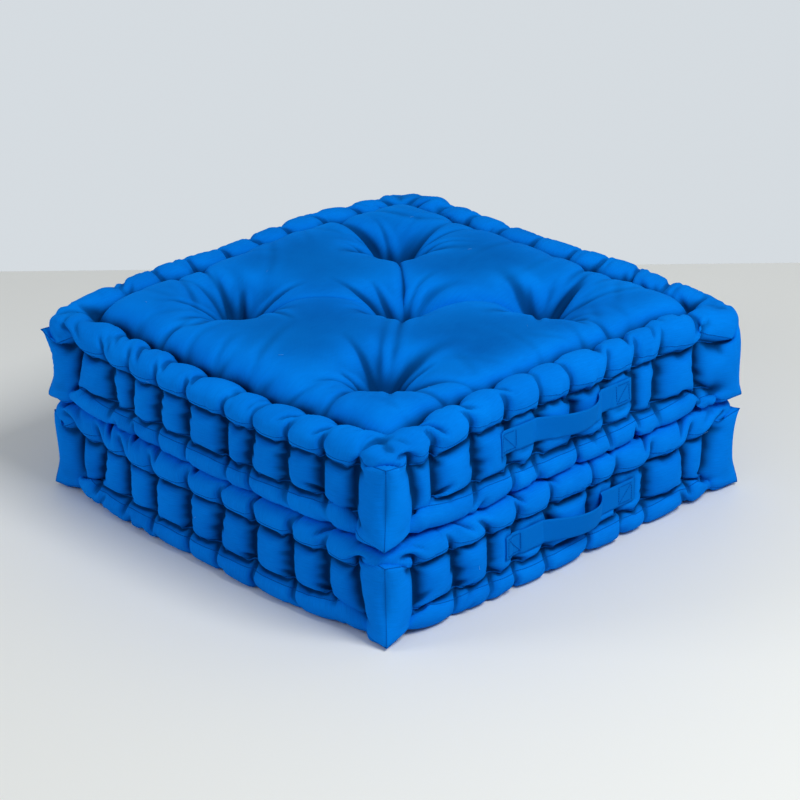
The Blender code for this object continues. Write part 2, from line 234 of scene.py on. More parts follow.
class Cover:
    """A cushion's cover as a grid of cloth: two square panels, and the boxing as a closed ring."""

    def __init__(self, work, cells, rows, ceiling):
        self.work, self.cells, self.rows, self.ceiling = work, cells, rows, ceiling
        panel = (cells + 1) ** 2
        top = np.arange(panel).reshape(cells + 1, cells + 1)
        self.panels = {True: top, False: top + panel}
        inner = np.arange((rows - 1) * 4 * cells).reshape(rows - 1, 4 * cells) + 2 * panel
        self.boxing = np.vstack([self.rim(top), inner, self.rim(top + panel)])
        self.count = 2 * panel + inner.size
        self.cell, self.step = 2 * FLAT_HALF / cells, BOXING_FLAT / rows
        self.crease = round(CREASE_SHARE * rows)
        self.loft = self.lofted()
        self.springs()
        self.pins()
        self.limits()

    def rim(self, grid):
        """A panel's edge, anticlockwise from its front left corner."""
        n = self.cells
        return np.concatenate([grid[:n, 0], grid[n, :n], grid[n:0:-1, n], grid[0, n:0:-1]])

    def on_panel(self, side, along, inward):
        """The grid place that is so many cells along a side and inward from the edge."""
        n = self.cells
        return ((along, inward), (n - inward, along), (n - along, n - inward), (inward, n - along))[side]

    def ring_column(self, side, place):
        return (side * self.cells + round((place / HALF + 1) / 2 * self.cells)) % (4 * self.cells)

    def crease_row(self, upper):
        return self.crease if upper else self.rows - self.crease

    # The stuffing's own shape

    def lofted(self):
        loft = np.zeros((self.count, 3))
        flat = np.linspace(-FLAT_HALF, FLAT_HALF, self.cells + 1)
        across, back = (grid.ravel() for grid in np.meshgrid(flat, flat, indexing="ij"))
        for upper, grid in self.panels.items():
            loft[grid.ravel()] = self.panel_loft(across, back, upper)
        column = np.arange(4 * self.cells)
        for row in range(1, self.rows):
            place = ((column % self.cells) / self.cells * 2 - 1) * HALF
            loft[self.boxing[row]] = self.boxing_loft(column // self.cells, place, row / self.rows)
        return loft

    def panel_loft(self, across, back, upper):
        ring = np.maximum(abs(across), abs(back))
        side = np.where(abs(back) >= abs(across), np.where(back < 0, 0, 2), np.where(across > 0, 1, 3))
        turn = np.clip((ring - FLAT_VALLEY) / ROLL_FLAT, 0, 1)
        angle = VALLEY_ANGLE + (SEAM_ANGLE - VALLEY_ANGLE) * turn
        in_roll = ring >= FLAT_VALLEY
        even_reach = np.where(in_roll, HALF - ROLL + ROLL * np.cos(angle), VALLEY * ring / FLAT_VALLEY)
        shrink = np.where(ring > 0, even_reach / np.maximum(ring, 1e-9), VALLEY / FLAT_VALLEY)
        x, y = across * shrink, back * shrink
        place = np.select([side == 0, side == 1, side == 2, side == 3], [x, y, -x, -y])
        full = self.by_side(side, place, upper, turn, power=0.75)
        radius = ROLL * (ROLL_PINCHED + ROLL_SWELL * full)
        reach = np.where(in_roll, HALF - ROLL + radius * np.cos(angle), even_reach)
        roll_z = HEIGHT - ROLL + radius * np.sin(angle)
        groove_z = HEIGHT - ROLL + radius * math.sin(VALLEY_ANGLE)
        inward = VALLEY - even_reach
        rise = np.sqrt(1 - (1 - np.clip(inward / PILLOW_EDGE, 0, 1)) ** 2)
        dip = np.zeros_like(x)
        for tuft_x, tuft_y in self.work.tufts.values():
            away = np.clip(np.hypot(x - tuft_x, y - tuft_y) / TUFT_FUNNEL, 0, 1)
            dip = np.maximum(dip, (TUFT_DEPTH + PILLOW) * (1 - np.sqrt(1 - (1 - away) ** 2)))
        pillow_z = groove_z + (HEIGHT + PILLOW - groove_z) * rise - dip * np.clip(inward / 0.05, 0, 1)
        z = np.where(in_roll, roll_z, pillow_z)
        stretch = np.where(ring > 0, reach / np.maximum(ring, 1e-9), VALLEY / FLAT_VALLEY)
        return np.stack([across * stretch, back * stretch, mirrored(z, upper)], 1)

    def by_side(self, side, place, upper, turn, power, even=False):
        """The fullness on a panel, whose pinches slant on their way over the roll."""

        def full_on(which, here):
            stitches = self.work.stitches[which, upper]
            slant = np.interp(place[here], stitches, self.work.slant[which, upper]) * (1 - turn[here])
            swell = np.ones(STITCHES + 1) if even else self.work.swell[which, upper]
            return fullness(place[here] - slant, stitches, swell, power)

        return each_side(side, full_on)

    def boxing_loft(self, side, place, share):
        """Share goes from 0 at the upper seam to 1 at the lower."""

        def full_on(which, here):
            upper, lower = self.work.stitches[which, True], self.work.stitches[which, False]
            stitches = upper * (1 - share) + lower * share
            return fullness(place[here], stitches, self.work.column_swell[which], 1.0)

        full = each_side(side, full_on)
        sagged = share - SCALLOP * full * 4 * share * (1 - share)
        hold = np.clip((HALF - abs(place)) / CORNER_BLOCK, 0, 1) ** 0.7
        column = np.minimum(COLUMN_REACH + COLUMN_SWELL * full, COLUMN_LIMIT)
        column = column * hold + (HALF - CORNER_WAIST / 2) * (1 - hold)
        crease = (CREASE_REACH + CREASE_SWELL * full) * hold + (HALF - CORNER_WAIST / 2) * (1 - hold)
        seam_reach = HALF - ROLL + ROLL * math.cos(SEAM_ANGLE)
        seam_z, crease_z = HEIGHT - ROLL + ROLL * math.sin(SEAM_ANGLE), HEIGHT - CREASE_DROP
        middle = abs(sagged - 0.5) * 2  # 1 at the seams
        crease_at = 1 - 2 * CREASE_SHARE
        down = np.clip((1 - middle) / (1 - crease_at), 0, 1)
        up = np.clip(middle / crease_at, 0, 1)
        on_roll = middle > crease_at
        roll = seam_reach + (crease - seam_reach) * down**1.5
        reach = np.where(on_roll, roll, crease + (column - crease) * (1 - up**2) ** 0.8)
        roll_z = seam_z + (crease_z - seam_z) * down**0.8
        z = np.where(on_roll, roll_z, HEIGHT / 2 + (crease_z - HEIGHT / 2) * up)
        x, y = np.zeros_like(place), np.zeros_like(place)
        for which in range(4):
            here = side == which
            x[here], y[here] = turned(which, place[here] / HALF * reach[here], reach[here])
        return np.stack([x, y, np.where(sagged <= 0.5, z, HEIGHT - z)], 1)

    # The cloth's springs

    def springs(self):
        found = []

        def spring(here, there, rest, stiffness):
            here, there = np.ravel(here), np.ravel(there)
            rest = np.broadcast_to(rest, here.shape) if np.ndim(rest) == 0 else np.ravel(rest)
            found.append((here, there, rest, np.full(here.shape, stiffness)))

        cell, step = self.cell, self.step
        for upper, grid in self.panels.items():
            tight = self.tightness(upper)
            spring(grid[:-1], grid[1:], cell * (tight[0][:-1] + tight[0][1:]) / 2, STRETCH)
            spring(grid[:, :-1], grid[:, 1:], cell * (tight[1][:, :-1] + tight[1][:, 1:]) / 2, STRETCH)
            spring(grid[:-1, :-1], grid[1:, 1:], cell * math.sqrt(2), SHEAR)
            spring(grid[1:, :-1], grid[:-1, 1:], cell * math.sqrt(2), SHEAR)
            spring(grid[:-2], grid[2:], 2 * cell, BEND)
            spring(grid[:, :-2], grid[:, 2:], 2 * cell, BEND)
        wall = self.boxing
        following, beyond = np.roll(wall, -1, axis=1), np.roll(wall, -2, axis=1)
        place = ((np.arange(4 * self.cells) % self.cells + 0.5) / self.cells * 2 - 1) * HALF
        corner = np.clip((abs(place) - (HALF - CORNER_BLOCK)) / 0.01, 0, 1)
        eased = cell * (1 - CORNER_EASE * corner) * np.ones((self.rows - 1, 1))
        spring(wall[1:-1], following[1:-1], eased, STRETCH)
        spring(wall[:-1], wall[1:], step, STRETCH)
        spring(wall[:-1], following[1:], math.hypot(cell, step), SHEAR)
        spring(following[:-1], wall[1:], math.hypot(cell, step), SHEAR)
        spring(wall[1:-1], beyond[1:-1], 2 * cell, BEND)
        spring(wall[:-2], wall[2:], 2 * step, BEND)
        self.here, self.there, self.rest, self.stiffness = (np.concatenate(part) for part in zip(*found))
        ends = np.concatenate([self.here, self.there])
        self.load = np.bincount(ends, np.tile(self.stiffness, 2), self.count)

    def tightness(self, upper):
        """How much shorter than cut the cloth is drawn, at each point of a panel, along X and Y."""
        flat = np.linspace(-FLAT_HALF, FLAT_HALF, self.cells + 1)
        grid = np.meshgrid(flat, flat, indexing="ij")
        tight = []
        for axis in (0, 1):
            own, other = grid[axis], grid[1 - axis]
            over_roll = (abs(own) > FLAT_VALLEY) & (abs(own) >= abs(other))
            turn = np.clip((abs(own) - FLAT_VALLEY) / ROLL_FLAT, 0, 1)
            place = other * (VALLEY + (HALF - VALLEY) * turn) / np.maximum(abs(own), 1e-9)
            side = np.where(own > 0, 1, 3) if axis == 0 else np.where(own > 0, 2, 0)
            place = np.where((side == 2) | (side == 3), -place, place)
            full = self.by_side(side, place, upper, turn, power=1.0, even=True)
            work = self.work
            grip = each_side(
                side, lambda at, here: np.interp(place[here], work.stitches[at, upper], work.grip[at, upper])
            )
            drawn = np.where(over_roll, 1 - grip * (1 - np.minimum(full, 1)) ** 2.5, 1)
            on_pillow = np.maximum(abs(own), abs(other)) < FLAT_VALLEY
            drawn = np.where(on_pillow, PILLOW_EASE, drawn)
            at_seam = abs(other) > FLAT_HALF - self.cell / 2
            tight.append(np.where(at_seam, SEAM_GATHER, drawn))
        return tight

    # What holds the cloth

    def pins(self):
        held = {}
        for upper, grid in self.panels.items():
            for x, y in self.work.tufts.values():
                held[grid[self.tuft_at(x, y)]] = (x, y, mirrored(HEIGHT - TUFT_DEPTH, upper))
            for side in range(4):
                stitches, slant = self.work.stitches[side, upper], self.work.slant[side, upper]
                for place, lean in zip(stitches, slant):
                    inner = float(np.clip(place + lean, -VALLEY + 0.01, VALLEY - 0.01))
                    along = round((inner / VALLEY * FLAT_VALLEY + FLAT_HALF) / self.cell)
                    vertex = grid[self.on_panel(side, along, round(ROLL_FLAT / self.cell))]
                    z = mirrored(HEIGHT - TWINE_DROP - STITCH_PULL, upper)
                    held[vertex] = (*turned(side, inner, STITCH_REACH), z)
                    vertex = self.boxing[self.crease_row(upper), self.ring_column(side, place)]
                    z = mirrored(HEIGHT - CREASE_DROP, upper)
                    held[vertex] = (*turned(side, place, CREASE_REACH), z)
        for side in range(4):
            for upper, row, z in ((True, 0, SEAM_TOP), (False, self.rows, SEAM_BASE)):
                for place in self.work.stitches[side, upper][[0, -1]]:
                    vertex = self.boxing[row, self.ring_column(side, place)]
                    held[vertex] = (*turned(side, place, SEAM_HOLD), z)
            out, drop = self.work.ears[side]
            for row in range(self.rows + 1):
                share = row / self.rows
                ear = out * (1 - share) + EAR_OUT * share
                bend = math.sin(math.pi * share) ** (0.6 if share < 0.5 else 1.2)
                reach = HALF + ear - (ear + CORNER_WAIST) * bend
                z = (HEIGHT - drop) * (1 - share) + EAR_LOW * share
                held[self.boxing[row, side * self.cells]] = (*turned(side, -reach, reach), z)
        self.held = np.array(list(held))
        self.held_at = np.array(list(held.values()), float)

    def limits(self):
        """The twine lies along each crease and groove, and the cloth stands no further out there."""
        found = []

        def limit(vertices, direction, most):
            vertices = np.ravel(vertices)
            found.append((vertices, np.tile(direction, (vertices.size, 1)), np.full(vertices.size, most)))

        first, last = self.crease_row(True), self.crease_row(False)
        inward = round(ROLL_FLAT / self.cell)
        for side in range(4):
            out = np.array([*turned(side, 0, 1), 0.0])
            block = self.ring_column(side, -HALF + CORNER_BLOCK * 0.8)
            until = self.ring_column(side, HALF - CORNER_BLOCK * 0.8)
            upper, lower = self.work.stitches[side, True], self.work.stitches[side, False]
            columns = np.arange(block, until)
            place = ((columns % self.cells) / self.cells * 2 - 1) * HALF
            for row, stitches in ((first, upper), (last, lower)):
                full = fullness(place, stitches, self.work.column_swell[side], 1.0)
                rows = row + np.round(SCALLOP * self.rows * full).astype(int)
                limit(self.boxing[np.clip(rows, 0, self.rows - 1), columns], out, TWINE_REACH)
            for row in range(1, self.rows):
                share = min(max((row - first) / (last - first), 0), 1)
                past = max(first - row, row - last, 0) / first
                for place in upper * (1 - share) + lower * share:
                    vertex = self.boxing[row, self.ring_column(side, place)]
                    limit(vertex, out, FOLD_REACH + (SEAM_HOLD - FOLD_REACH) * past)
            if side == 0:
                for near, far in ((-TAB_FAR, -TAB_NEAR), (TAB_NEAR, TAB_FAR)):
                    columns = slice(self.ring_column(0, near), self.ring_column(0, far) + 1)
                    beside = round(STRAP_HALF_WIDTH / self.step)
                    rows = slice(self.rows // 2 - beside, self.rows // 2 + beside + 1)
                    limit(self.boxing[rows, columns], out, TAB_REACH)
            for is_upper, grid in self.panels.items():
                line = [grid[self.on_panel(side, a, inward)] for a in range(inward, self.cells - inward + 1)]
                up = 1.0 if is_upper else -1.0
                limit(np.array(line), (0, 0, up), up * mirrored(HEIGHT - TWINE_DROP, is_upper))
            for is_upper, row in ((True, 0), (False, self.rows)):
                for column in range(self.cells + 1):
                    away = (1 - abs(column / self.cells * 2 - 1)) * HALF / CORNER_BLOCK
                    if away < 1:
                        corner = side if column < self.cells / 2 else (side + 1) % 4
                        tip = HEIGHT - self.work.ears[corner][1] if is_upper else EAR_LOW
                        stitch = SEAM_TOP if is_upper else SEAM_BASE
                        vertex = self.boxing[row, (side * self.cells + column) % (4 * self.cells)]
                        limit(vertex, (0, 0, 1.0), tip + (stitch - tip) * away)
        grid = self.panels[True]
        x, y, _ = np.moveaxis(self.loft[grid], -1, 0)
        away = (HALF - np.minimum(abs(x), abs(y))) / CORNER_BLOCK
        corner = np.where(x < 0, np.where(y < 0, 0, 3), np.where(y < 0, 1, 2))
        drop = np.array([ear[1] for ear in self.work.ears])[corner]
        for place in np.argwhere(away < 1):
            share = max(float(away[tuple(place)]), 0) ** 0.8
            most = HEIGHT - float(drop[tuple(place)]) * (1 - share) + HOOD * share
            limit(grid[tuple(place)], (0, 0, 1.0), most)
        self.limited, self.limit_out, self.limit_most = (np.concatenate(part) for part in zip(*found))

    def tuft_at(self, x, y):
        """The panel's grid place at a tuft."""
        return tuple(round((v / VALLEY * FLAT_VALLEY + FLAT_HALF) / self.cell) for v in (x, y))

    # The simulation

    def normals(self, points):
        total = np.zeros_like(points)
        for upper, grid in self.panels.items():
            cloth = points[grid]
            normal = np.cross(np.gradient(cloth, axis=0), np.gradient(cloth, axis=1))
            total[grid] += unit(normal if upper else -normal)
        cloth = points[self.boxing]
        across = np.roll(cloth, -1, axis=1) - np.roll(cloth, 1, axis=1)
        np.add.at(total, self.boxing, unit(np.cross(across, -np.gradient(cloth, axis=0))))
        return unit(total)

    def relax(self, points, turns):
        """Lets the cloth settle over the stuffing, which pushes less the further out the cloth is."""
        outward = self.normals(self.loft)
        points = points + self.work.noise.normal(0, 0.0004, (self.count, 1)) * outward
        before = points.copy()
        load = np.maximum(self.load, 1e-9)[:, None]
        for turn in range(turns):
            if turn % 4 == 0:
                normal = self.normals(points)
            depth = ((self.loft - points) * outward).sum(1)
            push = FILL_STIFFNESS * np.clip(depth, 0, 0.02) + LIFT * np.clip(1 + depth / LIFT_RANGE, 0, 1)
            moved = points + (points - before) * DAMPING + push[:, None] * normal
            before, points = points, moved
            for _ in range(2):
                apart = points[self.there] - points[self.here]
                length = np.sqrt((apart**2).sum(1)) + 1e-12
                pull = (self.stiffness * (length - self.rest) / length / 2)[:, None] * apart
                for axis in range(3):
                    move = np.bincount(self.here, pull[:, axis], self.count)
                    move -= np.bincount(self.there, pull[:, axis], self.count)
                    points[:, axis] += PUSH_AHEAD * move / load[:, 0]
                over = (points[self.limited] * self.limit_out).sum(1) - self.limit_most
                give = np.maximum(over, 0)[:, None] * self.limit_out / 2
                np.subtract.at(points, self.limited, give)
                points[self.held] = self.held_at
                points[:, 2] = np.clip(points[:, 2], 0, self.ceiling)
        return points

    def smoothed(self, points, share):
        """Takes the sharpness off single points, such as where a stitch pulls."""
        near = np.bincount(np.concatenate([self.here, self.there]), minlength=self.count)
        total = np.zeros_like(points)
        for axis, values in enumerate(points.T):
            total[:, axis] = np.bincount(self.here, values[self.there], self.count)
            total[:, axis] += np.bincount(self.there, values[self.here], self.count)
        return points + (total / near[:, None] - points) * share

    def pillow(self):
        """1 for the points inside the rolls, on either panel, down to 0 at the tufts and elsewhere."""
        inside = np.zeros((self.count, 1))
        edge = round(ROLL_FLAT / self.cell) + 1
        for grid in self.panels.values():
            inside[grid[edge:-edge, edge:-edge]] = 1
        for x, y in self.work.tufts.values():
            away = np.hypot(self.loft[:, 0] - x, self.loft[:, 1] - y)
            inside[:, 0] *= 1 - np.exp(-((away / TUFT_CRISP) ** 2))
        return inside

    def hollows(self, points, breadth):
        """How far each point lies in a hollow, or on a ridge where it is less than 0."""
        even = points
        for _ in range(breadth):
            even = self.smoothed(even, 0.8)
        return ((even - points) * self.normals(even)).sum(1)

    def from_coarse(self, coarse, points):
        """Carries a result from a cover of half as many cells and rows."""
        fine = np.zeros((self.count, 3))
        for upper, grid in self.panels.items():
            fine[grid] = doubled(doubled(points[coarse.panels[upper]], 0), 1)
        ring = points[coarse.boxing]
        ring = doubled(np.concatenate([ring, ring[:, :1]], axis=1), 1)[:, :-1]
        fine[self.boxing[1:-1]] = doubled(ring, 0)[1:-1]
        return fine

    def faces(self):
        quads = [quads_of(grid, upper).reshape(-1, 4) for upper, grid in self.panels.items()]
        wall, following = self.boxing, np.roll(self.boxing, -1, axis=1)
        quads.append(np.stack([wall[1:], following[1:], following[:-1], wall[:-1]], -1).reshape(-1, 4))
        return np.concatenate(quads)

    def worn_in(self, points, sway):
        """The finished cushion: cloth creased by use, puckered along its seams and a little out of true."""
        rng = self.work.noise
        normals = self.normals(points)
        depth = np.zeros(self.count)
        for upper, grid in self.panels.items():
            depth[grid] += self.tuft_creases(rng, points[grid][..., :2])
            for side in range(4):
                depth[grid] += self.long_creases(rng, points[grid][..., :2], side, upper)
                self.pinch_creases(rng, depth, grid, side, upper)
                self.puckers(rng, depth, grid, side, upper)
        points = points - depth[:, None] * normals
        points[:, 2] = np.clip(points[:, 2], 0, self.ceiling)
        return self.settled(rng, points, sway)

    def settled(self, rng, points, sway):
        """The cushion a little out of true: its sides bow, and its top rises and falls."""
        height = np.clip(points[:, 2] / HEIGHT, 0, 1)
        phase = rng.uniform(0, 2 * math.pi, 6)
        x, y = points[:, 0].copy(), points[:, 1].copy()
        moved = points.copy()
        moved[:, 0] += 0.0020 * np.sin(9 * y + phase[0]) + 0.0013 * np.sin(23 * y + phase[1] + 3 * height)
        moved[:, 1] += 0.0020 * np.sin(8 * x + phase[2]) + 0.0013 * np.sin(21 * x + phase[3] + 3 * height)
        rise = np.sin(11 * x + phase[4]) * np.cos(7 * y + phase[5]) + 0.6 * np.sin(26 * x - 19 * y + phase[0])
        moved[:, 2] += sway * rise * height**2
        for side, (base_out, top_out, top_up) in enumerate(SETTLED[self.work.name]):
            out = np.array(turned(side, 0, 1))
            reach, along = x * out[0] + y * out[1], abs(x * out[1] - y * out[0])
            felt = np.clip((reach - HALF + SETTLED_BREADTH) / SETTLED_BREADTH, 0, 1)
            felt = felt * felt * (3 - 2 * felt) * np.cos(np.clip(along / HALF, 0, 1) * math.pi / 2)
            moved[:, :2] += (felt * (base_out + (top_out - base_out) * height))[:, None] * out
            moved[:, 2] += top_up * felt * height**2
        if self.ceiling > HEIGHT + 0.001:
            over = moved[:, 2] - HEIGHT
            moved[:, 2] = np.where(over > 0, HEIGHT + DOME * np.tanh(over / DOME), moved[:, 2])
        moved[:, 2] = np.clip(moved[:, 2], 0, self.ceiling)
        return moved

    def crease_depth(self, place, start, heading, length, depth, width, bend):
        """How deep one crease is at each place: a valley between two low ridges, fading at its ends."""
        away = place - start
        along = away @ heading
        across = away @ np.array([-heading[1], heading[0]]) + bend * along**2
        share = np.clip(along / length, 0, 1)
        fade = np.where((along > 0) & (along < length), np.sin(math.pi * share**0.7) ** 0.8, 0)
        ridge = np.exp(-(((abs(across) - 2 * width) / width) ** 2))
        return depth * fade * (np.exp(-((across / width) ** 2)) - 0.35 * ridge)

    def tuft_creases(self, rng, place):
        """Short sharp creases all round each tuft, and four broad folds that run out from it."""
        depth = np.zeros(place.shape[:2])

        def crease(angle, start, lengths, depths, width, bend):
            heading = np.array([math.cos(angle), math.sin(angle)])
            length, deep = rng.uniform(*lengths), rng.uniform(*depths)
            origin, bend = np.array(tuft) + heading * start, rng.uniform(-bend, bend)
            return self.crease_depth(place, origin, heading, length, deep, width, bend)

        for tuft in self.work.tufts.values():
            turn, count = rng.uniform(0, 2 * math.pi), rng.integers(5, 8)
            for index in range(count):
                angle = turn + (index + rng.uniform(-0.3, 0.3)) * 2 * math.pi / count
                depth += crease(angle, 0.004, (0.045, 0.115), (0.0014, 0.0042), 0.0042, 3)
            for angle in turn + np.arange(4) * math.pi / 2 + rng.uniform(-0.5, 0.5, 4):
                depth += crease(angle, 0, (0.08, 0.13), (0.003, 0.0065), 0.011, 2)
        return depth

    def long_creases(self, rng, place, side, upper):
        depth = np.zeros(place.shape[:2])
        for stitch in self.work.stitches[side, upper][1:-1]:
            lean, length = rng.uniform(-0.7, 0.7), rng.uniform(0.05, 0.14)
            deep = rng.uniform(0.0004, 0.0022)
            start = np.array(turned(side, stitch, VALLEY - 0.006))
            heading = np.array(turned(side, math.sin(lean), -math.cos(lean)))
            depth += self.crease_depth(place, start, heading, length, deep, 0.0055, rng.uniform(-2, 2))
        return depth

    def pinch_creases(self, rng, depth, grid, side, upper):
        """The small folds that run over a roll beside each stitch."""
        over = round(ROLL_FLAT / self.cell)
        along, inward = np.meshgrid(np.arange(self.cells + 1), np.arange(1, over), indexing="ij")
        total = np.zeros(along.shape)
        for stitch in self.work.stitches[side, upper]:
            middle = (stitch / HALF + 1) / 2 * self.cells
            for _ in range(5):
                offset, lean = rng.uniform(-4.5, 4.5), rng.uniform(-0.25, 0.25)
                start, length = rng.uniform(0, over * 0.5), rng.uniform(0.35, 0.6) * over
                across = along - middle - offset - lean * (inward - over / 2)
                share = np.clip((inward - start) / length, 0, 1)
                fold = np.exp(-((across / 1.1) ** 2)) * np.sin(math.pi * share)
                total += rng.uniform(0.0006, 0.0024) * fold
        depth[grid[self.on_panel(side, along, inward)]] += total

    def puckers(self, rng, depth, grid, side, upper):
        """The cloth's fine gathers along the seam, on the panel and on the boxing."""
        fine = np.convolve(rng.normal(0, 1, self.cells + 1), [0.5, 1, 0.5], mode="same")
        patchy = np.convolve(rng.normal(0, 1, self.cells + 1), np.hanning(25), mode="same")
        gather = PUCKER * fine * np.clip(0.35 + 0.25 * patchy, 0, 1)
        along = np.arange(self.cells + 1)
        for inward in range(7):
            depth[grid[self.on_panel(side, along, inward)]] += gather * (1 - inward / 7)
        ring = (side * self.cells + along[:-1]) % (4 * self.cells)
        for row in range(1, 4):
            down = row if upper else self.rows - row
            depth[self.boxing[down, ring]] += gather[:-1] * (1 - row / 4)


def unit(vectors):
    return vectors / (np.linalg.norm(vectors, axis=-1, keepdims=True) + 1e-12)


def quads_of(grid, upper):
    """The corners of each cell of a panel's grid, anticlockwise as seen from outside."""
    corners = [grid[:-1, :-1], grid[1:, :-1], grid[1:, 1:], grid[:-1, 1:]]
    return np.stack(corners if upper else corners[::-1], 2)


def doubled(grid, axis):
    """A grid with a new point halfway between each two neighbours along an axis."""
    grid = np.moveaxis(grid, axis, 0)
    fine = np.zeros((2 * len(grid) - 1, *grid.shape[1:]))
    fine[::2], fine[1::2] = grid, (grid[:-1] + grid[1:]) / 2
    return np.moveaxis(fine, 0, axis)


def simulated(name, seed, ceiling, sway):
    """The settled cover of one cushion, and its points."""
    work = Workmanship(name, seed)
    coarse = Cover(work, CELLS // 2, ROWS // 2, ceiling)
    points = coarse.relax(coarse.loft, COARSE_TURNS)
    fine = Cover(work, CELLS, ROWS, ceiling)
    points = fine.relax(fine.from_coarse(coarse, points), FINE_TURNS)
    for _ in range(3):
        points = fine.smoothed(points, 0.6 * fine.pillow())
    return fine, fine.worn_in(fine.smoothed(points, 0.35), sway)


# Materials

WEAVE_SCALE = 100 * math.pi  # threads 1 mm apart, as bands on UVs in metres
SLUB_SCALE = (60, 900, 1)  # long thin streaks
PLY_SCALE = 260
COTTON_SPECULAR = 0.04

# How the cloth's colour goes from a painted highlight on ridges to painted shade deep in hollows: the ridge's
# and the hollow's depth in metres, and what each does to the colour
PAINTED_SHADING = {
    "crease": (-0.0012, 0.0016, 1.10, 0.65),
    "hollow": (-0.0050, 0.0065, 1.20, 0.50),
}
# The painted shade and highlight are measured against the cloth evened out over this many points
PAINTED_SHADING_BREADTH = {"crease": 5, "hollow": 45}  # how many points away the cloth is evened out


def fill(tree, made, inputs):
    """Gives each of a node's inputs a value, or joins it to another node's output."""
    for name, value in inputs.items():
        if isinstance(value, bpy.types.NodeSocket):
            tree.links.new(value, made.inputs[name])
        else:
            made.inputs[name].default_value = value


def node(tree, kind, settings, inputs):
    """A new node."""
    made = tree.nodes.new("ShaderNode" + kind)
    for name, value in settings.items():
        setattr(made, name, value)
    fill(tree, made, inputs)
    return made


def shader_of(name, colour, roughness, specular):
    material = bpy.data.materials.new(name)
    material.use_nodes = True
    tree = material.node_tree
    shader = tree.nodes["Principled BSDF"]
    base = {"Base Color": (*colour, 1), "Roughness": roughness, "Specular IOR Level": specular}
    fill(tree, shader, base)
    return material, tree, shader


def bands(tree, direction, inputs):
    return node(tree, "TexWave", {"wave_type": "BANDS", "bands_direction": direction}, inputs).outputs["Fac"]


def mixed(tree, first, second, share):
    ends = {"A": (*first, 1), "B": (*second, 1), "Factor": share}
    return node(tree, "Mix", {"data_type": "RGBA"}, ends).outputs["Result"]


def bumped(tree, shader, height, strength, distance):
    relief = {"Strength": strength, "Distance": distance, "Height": height}
    fill(tree, shader, {"Normal": node(tree, "Bump", {}, relief).outputs["Normal"]})


def cotton(name, colour, dark):
    """Plain-weave cotton, with painted shade in its hollows and a painted highlight on its ridges: the weave
    follows the cloth's own UVs, which are in metres.
    """
    material, tree, shader = shader_of(name, colour, 0.85, COTTON_SPECULAR)
    fill(tree, shader, {"Sheen Weight": 0.10, "Sheen Roughness": 0.5, "Sheen Tint": (0.0, 0.45, 1.0, 1)})
    uv = node(tree, "UVMap", {}, {}).outputs["UV"]
    uneven = {"Scale": WEAVE_SCALE, "Distortion": 1.5, "Detail": 1, "Detail Scale": 2, "Vector": uv}
    warp, weft = (bands(tree, direction, uneven) for direction in ("X", "Y"))
    weave = node(tree, "Math", {"operation": "MAXIMUM"}, {0: warp, 1: weft})
    cloudy = node(tree, "TexNoise", {}, {"Scale": 9, "Detail": 4, "Vector": uv})
    stretch = node(tree, "Mapping", {}, {"Scale": SLUB_SCALE, "Vector": uv}).outputs["Vector"]
    slub = node(tree, "TexNoise", {}, {"Scale": 1, "Detail": 2, "Vector": stretch}).outputs["Fac"]
    tone = node(tree, "Math", {"operation": "MULTIPLY_ADD"}, {0: slub, 1: 0.5, 2: cloudy.outputs["Fac"]})
    ramp = node(tree, "MapRange", {}, {"From Min": 0.55, "From Max": 0.95, "Value": tone.outputs[0]})
    dye = mixed(tree, dark, colour, ramp.outputs["Result"])
    # Painted highlight and painted shade: the dye is made lighter on ridges and darker in creases and
    # hollows, by each point's depth there, and is scaled by the product
    shades = []
    for place, (ridge, valley, light, deep) in PAINTED_SHADING.items():
        depth = node(tree, "Attribute", {"attribute_name": place}, {}).outputs["Fac"]
        reach = {"From Min": ridge, "From Max": valley, "To Min": light, "To Max": deep, "Value": depth}
        shade = node(tree, "MapRange", {"interpolation_type": "SMOOTHSTEP"}, reach)
        shades.append(shade.outputs["Result"])
    painted_shade = node(tree, "Math", {"operation": "MULTIPLY"}, dict(enumerate(shades)))
    fade = node(tree, "VectorMath", {"operation": "SCALE"}, {0: dye, "Scale": painted_shade.outputs[0]})
    fill(tree, shader, {"Base Color": fade.outputs["Vector"]})
    bumped(tree, shader, weave.outputs[0], 0.35, 0.0003)
    return material


def twisted(name, colour):
    """Sewing thread and twine, with the twist of its plies."""
    material, tree, shader = shader_of(name, colour, 0.8, COTTON_SPECULAR)
    place = node(tree, "TexCoord", {}, {}).outputs["Object"]
    plies = bands(tree, "DIAGONAL", {"Scale": PLY_SCALE, "Vector": place})
    dark = tuple(0.7 * part for part in colour)
    fill(tree, shader, {"Base Color": mixed(tree, dark, colour, plies)})
    bumped(tree, shader, plies, 0.5, 0.0002)
    return material


# Pieces


def meshed(name, points, faces, material):
    """A smooth mesh in the scene."""
    mesh = bpy.data.meshes.new(name)
    mesh.from_pydata(np.asarray(points).tolist(), [], faces)
    mesh.shade_smooth()
    mesh.materials.append(material)
    piece = bpy.data.objects.new(name, mesh)
    bpy.context.scene.collection.objects.link(piece)
    return piece


def make_cover(prefix, cover, points, material):
    piece = meshed(prefix + "_cover", points, cover.faces().tolist(), material)
    add_pattern_uvs(piece.data, cover)
    # Each point's depth in a crease and in a hollow, which the cloth's material turns into painted shade and
    # a painted highlight
    for name, breadth in PAINTED_SHADING_BREADTH.items():
        painted_shade = piece.data.attributes.new(name, "FLOAT", "POINT")
        painted_shade.data.foreach_set("value", cover.hollows(points, breadth).astype(np.float32))
    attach(piece, prefix + "_cushion")
    panels = [f"{prefix}_{name}_panel" for name in ("top", "bottom")]
    strips = [f"{prefix}_boxing_{name}" for name in ("front", "right", "back", "left")]
    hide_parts(*panels, *strips, prefix + "_filling")


